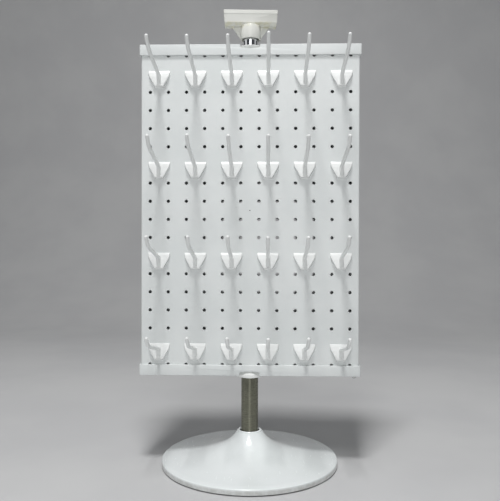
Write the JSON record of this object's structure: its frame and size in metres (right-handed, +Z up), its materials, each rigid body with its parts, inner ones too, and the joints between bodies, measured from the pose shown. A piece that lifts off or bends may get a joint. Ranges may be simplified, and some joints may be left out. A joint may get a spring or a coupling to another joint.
{
  "type": "pegboard display stand",
  "caption": "Countertop two-sided pegboard that turns on a pole over a trumpet base, with upturned peg hooks on its front and a swivelling sign clip on top.",
  "frame": {"origin": "centre of the base, on the surface the feet stand on, on the pole's axis", "axes": "+Z up along the pole, X along the width of the pegboards, -Y out of the front pegboard, the way the hooks point"},
  "size_m": [0.3096, 0.2476, 0.6386],
  "materials": {
    "base_enamel": "gloss white enamel on a spun skin",
    "panel_plastic": "satin cool white moulding",
    "cap_plastic": "satin cool white moulding",
    "hook_plastic": "semi-gloss white moulding",
    "clip_plastic": "semi-gloss warm white moulding",
    "bearing_nylon": "natural white nylon",
    "tube_satin_steel": "satin ground steel",
    "pole_chrome": "bright chrome plate",
    "weight_iron": "rough black-painted casting",
    "fastener_zinc": "bright zinc plate",
    "foot_rubber": "matt black rubber"
  },
  "bodies": {
    "base": {"base_shell": "base_enamel", "base_weight": "weight_iron", "foot_front_left": "foot_rubber", "foot_front_right": "foot_rubber", "foot_back_left": "foot_rubber", "foot_back_right": "foot_rubber", "base_bolt": "fastener_zinc", "base_washer": "fastener_zinc", "pole_plug": "fastener_zinc", "lower_tube": "tube_satin_steel", "centre_pole": "pole_chrome", "thrust_washer": "bearing_nylon"},
    "spinner": {"bottom_bearing": "bearing_nylon", "top_bearing": "bearing_nylon", "bottom_cap": "cap_plastic", "top_cap": "cap_plastic", "panel_front": "panel_plastic", "panel_back": "panel_plastic", "cap_screw_top_front": "fastener_zinc", "cap_screw_top_back": "fastener_zinc", "cap_screw_bottom_front": "fastener_zinc", "cap_screw_bottom_back": "fastener_zinc", "hook_r1_c1": "hook_plastic", "hook_r1_c2": "hook_plastic", "hook_r1_c3": "hook_plastic", "hook_r1_c4": "hook_plastic", "hook_r1_c5": "hook_plastic", "hook_r1_c6": "hook_plastic", "hook_r2_c1": "hook_plastic", "hook_r2_c2": "hook_plastic", "hook_r2_c3": "hook_plastic", "hook_r2_c4": "hook_plastic", "hook_r2_c5": "hook_plastic", "hook_r2_c6": "hook_plastic", "hook_r3_c1": "hook_plastic", "hook_r3_c2": "hook_plastic", "hook_r3_c3": "hook_plastic", "hook_r3_c4": "hook_plastic", "hook_r3_c5": "hook_plastic", "hook_r3_c6": "hook_plastic", "hook_r4_c1": "hook_plastic", "hook_r4_c2": "hook_plastic", "hook_r4_c3": "hook_plastic", "hook_r4_c4": "hook_plastic", "hook_r4_c5": "hook_plastic", "hook_r4_c6": "hook_plastic"},
    "sign_clip": {"sign_clip": "clip_plastic"}
  },
  "joints": [
    {"name": "panel_spin", "type": "hinge", "parent": "base", "child": "spinner", "pos_m": [0, 0, 0.1232], "axis": [0, 0, 1], "continuous": true},
    {"name": "clip_swivel", "type": "hinge", "parent": "base", "child": "sign_clip", "pos_m": [0, 0, 0.6], "axis": [0, 0, 1], "continuous": true}
  ]
}
